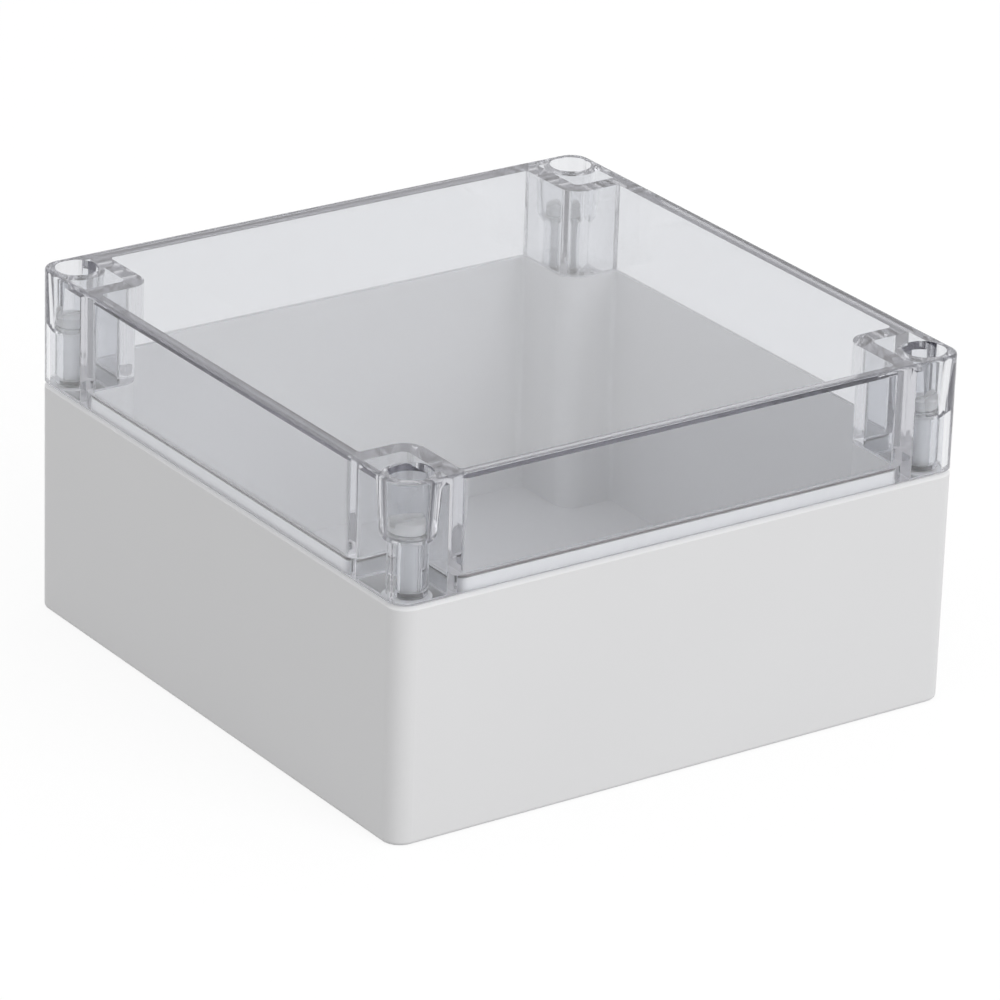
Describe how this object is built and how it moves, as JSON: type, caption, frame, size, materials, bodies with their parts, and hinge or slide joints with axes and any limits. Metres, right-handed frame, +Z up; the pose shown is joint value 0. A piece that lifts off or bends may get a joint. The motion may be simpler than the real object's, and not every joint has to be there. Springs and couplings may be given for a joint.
{
  "type": "outdoor plastic enclosure",
  "caption": "Square outdoor plastic enclosure: grey base tub with a deep clear lid, corner lid screws and wall-mounting bays outside the seal.",
  "frame": {"origin": "centre of the underside of the tub", "axes": "+Z up from the tub to the lid, -Y the front, +X to the right"},
  "size_m": [0.16, 0.16, 0.09],
  "materials": {
    "tub_plastic": "fine satin moulded light grey",
    "clear_polycarbonate": "clear, polished mould",
    "gasket_foam": "matt grey foam",
    "screw_polycarbonate": "clear, moulded",
    "washer_silicone": "translucent silicone",
    "retainer_rubber": "matt black",
    "insert_brass": "turned"
  },
  "bodies": {
    "base": {"base_tub": "tub_plastic", "threaded_insert_front_left": "insert_brass", "threaded_insert_front_right": "insert_brass", "threaded_insert_rear_left": "insert_brass", "threaded_insert_rear_right": "insert_brass"},
    "lid": {"clear_lid": "clear_polycarbonate", "lid_gasket": "gasket_foam", "screw_retainer_front_left": "retainer_rubber", "screw_retainer_front_right": "retainer_rubber", "screw_retainer_rear_left": "retainer_rubber", "screw_retainer_rear_right": "retainer_rubber"},
    "washer_front_left": {"screw_washer_front_left": "washer_silicone"},
    "screw_front_left": {"lid_screw_front_left": "screw_polycarbonate"},
    "washer_front_right": {"screw_washer_front_right": "washer_silicone"},
    "screw_front_right": {"lid_screw_front_right": "screw_polycarbonate"},
    "washer_rear_left": {"screw_washer_rear_left": "washer_silicone"},
    "screw_rear_left": {"lid_screw_rear_left": "screw_polycarbonate"},
    "washer_rear_right": {"screw_washer_rear_right": "washer_silicone"},
    "screw_rear_right": {"lid_screw_rear_right": "screw_polycarbonate"}
  },
  "joints": [
    {"name": "lid_lift", "type": "slide", "parent": "base", "child": "lid", "axis": [0, 0, 1], "range_m": [0, 0.1]},
    {"name": "screw_rise_front_left", "type": "slide", "parent": "lid", "child": "washer_front_left", "axis": [0, 0, 1], "range_m": [0, 0.0091]},
    {"name": "screw_turn_front_left", "type": "hinge", "parent": "washer_front_left", "child": "screw_front_left", "pos_m": [-0.073, -0.073, 0.0759], "axis": [0, 0, 1], "range_deg": [0, 4680]},
    {"name": "screw_rise_front_right", "type": "slide", "parent": "lid", "child": "washer_front_right", "axis": [0, 0, 1], "range_m": [0, 0.0091]},
    {"name": "screw_turn_front_right", "type": "hinge", "parent": "washer_front_right", "child": "screw_front_right", "pos_m": [0.073, -0.073, 0.0759], "axis": [0, 0, 1], "range_deg": [0, 4680]},
    {"name": "screw_rise_rear_left", "type": "slide", "parent": "lid", "child": "washer_rear_left", "axis": [0, 0, 1], "range_m": [0, 0.0091]},
    {"name": "screw_turn_rear_left", "type": "hinge", "parent": "washer_rear_left", "child": "screw_rear_left", "pos_m": [-0.073, 0.073, 0.0759], "axis": [0, 0, 1], "range_deg": [0, 4680]},
    {"name": "screw_rise_rear_right", "type": "slide", "parent": "lid", "child": "washer_rear_right", "axis": [0, 0, 1], "range_m": [0, 0.0091]},
    {"name": "screw_turn_rear_right", "type": "hinge", "parent": "washer_rear_right", "child": "screw_rear_right", "pos_m": [0.073, 0.073, 0.0759], "axis": [0, 0, 1], "range_deg": [0, 4680]}
  ],
  "couplings": [
    {"joint": "screw_turn_front_left", "follows": "screw_rise_front_left", "rad_per_m": 8975.9},
    {"joint": "screw_turn_front_right", "follows": "screw_rise_front_right", "rad_per_m": 8975.9},
    {"joint": "screw_turn_rear_left", "follows": "screw_rise_rear_left", "rad_per_m": 8975.9},
    {"joint": "screw_turn_rear_right", "follows": "screw_rise_rear_right", "rad_per_m": 8975.9}
  ]
}
